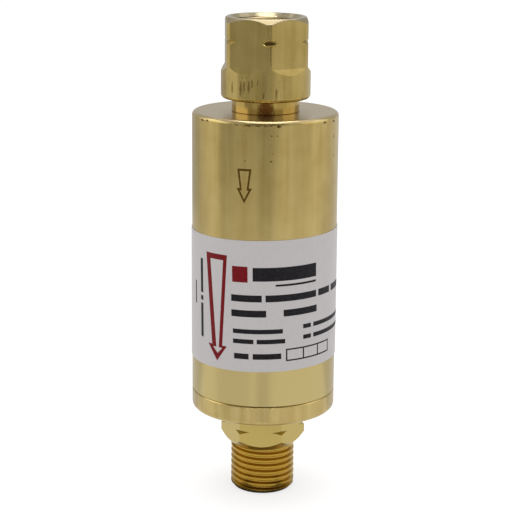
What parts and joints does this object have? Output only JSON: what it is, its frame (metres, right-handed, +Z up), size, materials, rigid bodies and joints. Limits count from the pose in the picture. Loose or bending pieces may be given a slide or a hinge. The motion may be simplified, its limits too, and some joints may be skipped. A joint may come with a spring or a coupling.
{
  "type": "flame arrestor",
  "caption": "Brass dry flashback arrestor: round body with swivel inlet nut, threaded outlet with hexagon, label, check valve, thermal cut-off and sintered flame element inside.",
  "frame": {"origin": "centre of the outlet's end face, on which the part stands", "axes": "+Z up along the gas way from outlet to inlet; -Y towards the front of the label"},
  "size_m": [0.0322, 0.0322, 0.1069],
  "materials": {
    "body_brass": "satin turned",
    "cap_brass": "satin turned",
    "nipple_brass": "bright turned",
    "nut_brass": "satin, milled flats",
    "inner_brass": "turned",
    "spring_steel": "drawn wire",
    "sintered_steel": "porous sintered",
    "sintered_bronze": "porous sintered",
    "solder": "dull cast",
    "seal_rubber": "smooth moulded",
    "gasket_fibre": "pressed fibre",
    "label_film": "printed satin film"
  },
  "bodies": {
    "housing": {"housing_shell": "body_brass", "outlet_cap": "cap_brass", "inlet_nipple": "nipple_brass", "nut_retaining_ring": "spring_steel", "nipple_o_ring": "seal_rubber", "inlet_strainer": "sintered_bronze", "strainer_ring": "inner_brass", "valve_body": "inner_brass", "valve_body_o_ring": "seal_rubber", "check_spring": "spring_steel", "check_guide": "inner_brass", "cutoff_seat": "inner_brass", "cutoff_piston": "inner_brass", "cutoff_seal": "seal_rubber", "cutoff_spring": "spring_steel", "fusible_ring": "solder", "cutoff_holder": "inner_brass", "element_gasket": "gasket_fibre", "flame_element": "sintered_steel", "element_support": "inner_brass", "cap_o_ring": "seal_rubber", "label_wrap": "label_film"},
    "nut": {"swivel_nut": "nut_brass"},
    "poppet": {"check_poppet": "inner_brass", "poppet_seal": "seal_rubber"}
  },
  "joints": [
    {"name": "nut_swivel", "type": "hinge", "parent": "housing", "child": "nut", "pos_m": [0, 0, 0.0919], "axis": [0, 0, 1], "continuous": true},
    {"name": "check_lift", "type": "slide", "parent": "housing", "child": "poppet", "axis": [0, 0, -1], "range_m": [0, 0.0015], "stiffness_N_per_m": 50, "springref_m": -0.004, "deforming": ["check_spring"]}
  ]
}
